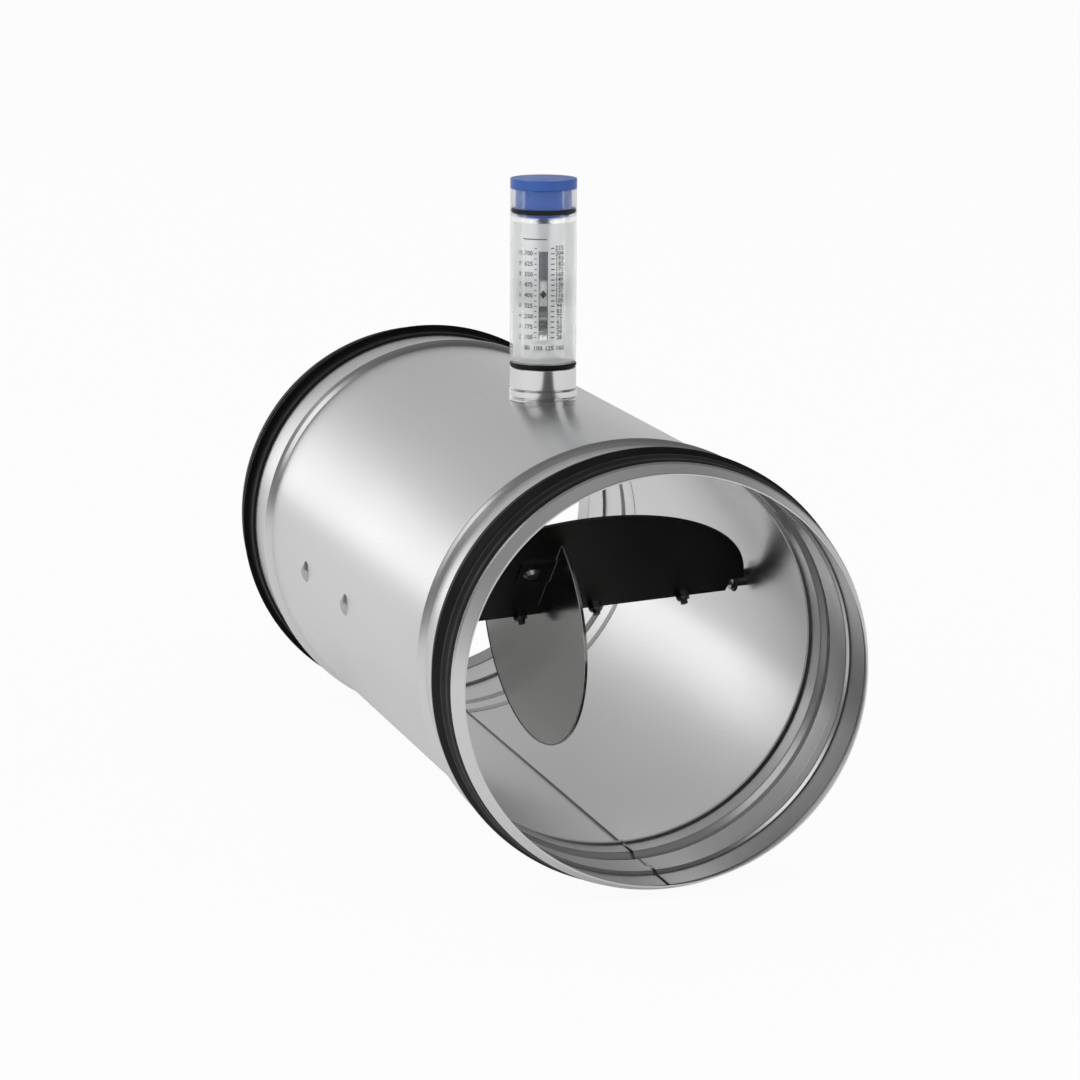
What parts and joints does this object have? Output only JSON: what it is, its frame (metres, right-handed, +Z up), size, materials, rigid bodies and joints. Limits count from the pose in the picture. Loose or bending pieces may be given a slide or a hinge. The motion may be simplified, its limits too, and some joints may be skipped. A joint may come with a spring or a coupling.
{
  "type": "constant airflow regulator",
  "caption": "Round duct section with rubber lip seals, a sprung half-round damper blade inside and a clear scale tube with a blue adjusting cap on top.",
  "frame": {"origin": "on the duct axis, level with the crest of the inlet seal", "axes": "+Y along the air path from inlet to outlet, +Z up along the scale tube, +X to the right seen from the inlet"},
  "size_m": [0.166, 0.3802, 0.2498],
  "materials": {
    "galvanised": "bright galvanised sheet, satin",
    "seal_rubber": "matt black rubber",
    "collar_metal": "bright drawn metal",
    "clear_plastic": "clear polished plastic",
    "label_film": "printed film",
    "blue_plastic": "moulded blue plastic",
    "spindle_steel": "zinc plated steel",
    "white_plastic": "moulded white plastic",
    "blade_sheet": "smooth galvanised sheet",
    "plate_sheet": "smooth galvanised sheet",
    "grey_plastic": "moulded grey plastic"
  },
  "bodies": {
    "casing": {"body_shell": "galvanised", "inlet_spigot": "galvanised", "outlet_spigot": "galvanised", "inlet_seal": "seal_rubber", "outlet_seal": "seal_rubber", "tube_collar": "collar_metal", "lower_o_ring": "seal_rubber", "scale_tube": "clear_plastic", "scale_label": "label_film", "tension_spring": "spindle_steel", "right_bush": "grey_plastic", "left_bush": "grey_plastic", "bearing_bracket": "blade_sheet", "bracket_rivets": "spindle_steel"},
    "damper": {"blade_shaft": "spindle_steel", "damper_blade": "blade_sheet", "blade_screws": "spindle_steel", "balance_plate": "plate_sheet", "plate_rivets": "spindle_steel", "shaft_clips": "spindle_steel"},
    "puller": {"pull_rod": "spindle_steel", "spring_plug": "white_plastic"},
    "cap": {"adjusting_cap": "blue_plastic", "adjusting_spindle": "spindle_steel", "upper_o_ring": "seal_rubber"},
    "pointer": {"pointer_nut": "white_plastic"}
  },
  "joints": [
    {"name": "blade_swing", "type": "hinge", "parent": "casing", "child": "damper", "pos_m": [-0.00003, 0.1324, 0.0005], "axis": [-0.9976, 0, -0.0698], "range_deg": [0, 48], "stiffness_Nm_per_rad": 0.12, "springref_deg": -28.65},
    {"name": "rod_pull", "type": "slide", "parent": "casing", "child": "puller", "axis": [0, 0, -1], "range_m": [0, 0.017], "deforming": ["tension_spring"]},
    {"name": "cap_turn", "type": "hinge", "parent": "casing", "child": "cap", "pos_m": [0, 0.1514, 0.165], "axis": [0, 0, 1], "range_deg": [-2160, 1440]},
    {"name": "pointer_travel", "type": "slide", "parent": "casing", "child": "pointer", "axis": [0, 0, 1], "range_m": [-0.012, 0.018], "deforming": ["tension_spring"]}
  ],
  "couplings": [
    {"joint": "rod_pull", "follows": "blade_swing", "m_per_rad": 0.020291},
    {"joint": "cap_turn", "follows": "pointer_travel", "rad_per_m": -2094}
  ]
}
